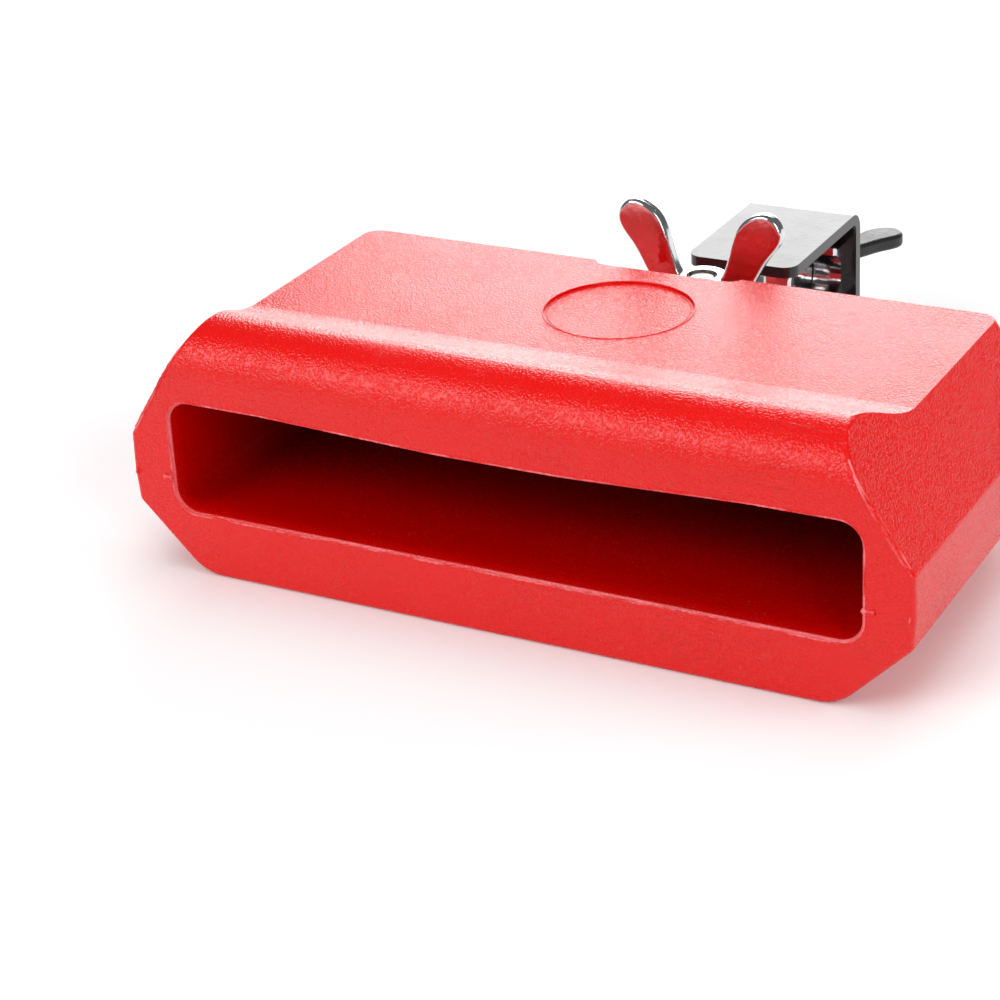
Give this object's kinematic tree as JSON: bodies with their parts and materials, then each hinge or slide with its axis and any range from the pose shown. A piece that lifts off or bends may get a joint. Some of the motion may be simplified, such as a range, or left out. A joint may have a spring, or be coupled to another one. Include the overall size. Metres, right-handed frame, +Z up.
{
  "type": "percussion block",
  "caption": "Moulded percussion block with a wide slot mouth, rounded striking rim and rear swivel clamp for a round mounting rod.",
  "frame": {"origin": "centre of the block's flat underside", "axes": "+Z up, -Y out of the mouth, X across the mouth"},
  "size_m": [0.2, 0.2116, 0.0662],
  "materials": {
    "block_plastic": "moulded red plastic with a fine grain and a satin gloss",
    "zinc_steel": "bright zinc plated steel",
    "pad_rubber": "black rubber",
    "black_steel": "gloss black powder coat on steel",
    "chrome_plate": "chrome plating over a cast or forged part",
    "black_screw": "black oxide steel",
    "black_coat": "black coated cast metal"
  },
  "bodies": {
    "block": {"resonator_block": "block_plastic", "neck_sleeve": "zinc_steel", "neck_washer": "zinc_steel"},
    "bracket": {"clamp_bracket": "black_steel", "friction_pad": "pad_rubber", "carriage_bolt": "zinc_steel", "rod_saddles": "chrome_plate", "saddle_screws": "black_screw", "clamp_washer": "zinc_steel", "spring_washer": "zinc_steel"},
    "swivel_washer": {"captive_washer": "zinc_steel"},
    "swivel_nut": {"swivel_wing_nut": "chrome_plate"},
    "rod_eye_bolt": {"eye_bolt": "chrome_plate"},
    "clamp_nut": {"clamp_wing_nut": "black_coat"}
  },
  "joints": [
    {"name": "bracket_swivel", "type": "hinge", "parent": "block", "child": "bracket", "pos_m": [0, 0.067, 0.0135], "axis": [0, 0, 1], "range_deg": [-45, 45]},
    {"name": "swivel_washer_lift", "type": "slide", "parent": "bracket", "child": "swivel_washer", "axis": [0, 0, 1], "range_m": [0, 0.004]},
    {"name": "swivel_nut_spin", "type": "hinge", "parent": "swivel_washer", "child": "swivel_nut", "pos_m": [0, 0.067, 0.039], "axis": [0, 0, 1], "range_deg": [0, 1150]},
    {"name": "clamp_nut_spin", "type": "hinge", "parent": "bracket", "child": "clamp_nut", "pos_m": [0, 0.1385, 0.0265], "axis": [0, 1, 0], "range_deg": [0, 1798]},
    {"name": "eye_bolt_slide", "type": "slide", "parent": "bracket", "child": "rod_eye_bolt", "axis": [0, 1, 0], "range_m": [-0.005, 0]}
  ],
  "couplings": [
    {"joint": "swivel_washer_lift", "follows": "swivel_nut_spin", "m_per_rad": 0.00019894},
    {"joint": "eye_bolt_slide", "follows": "clamp_nut_spin", "m_per_rad": -0.00015915}
  ]
}
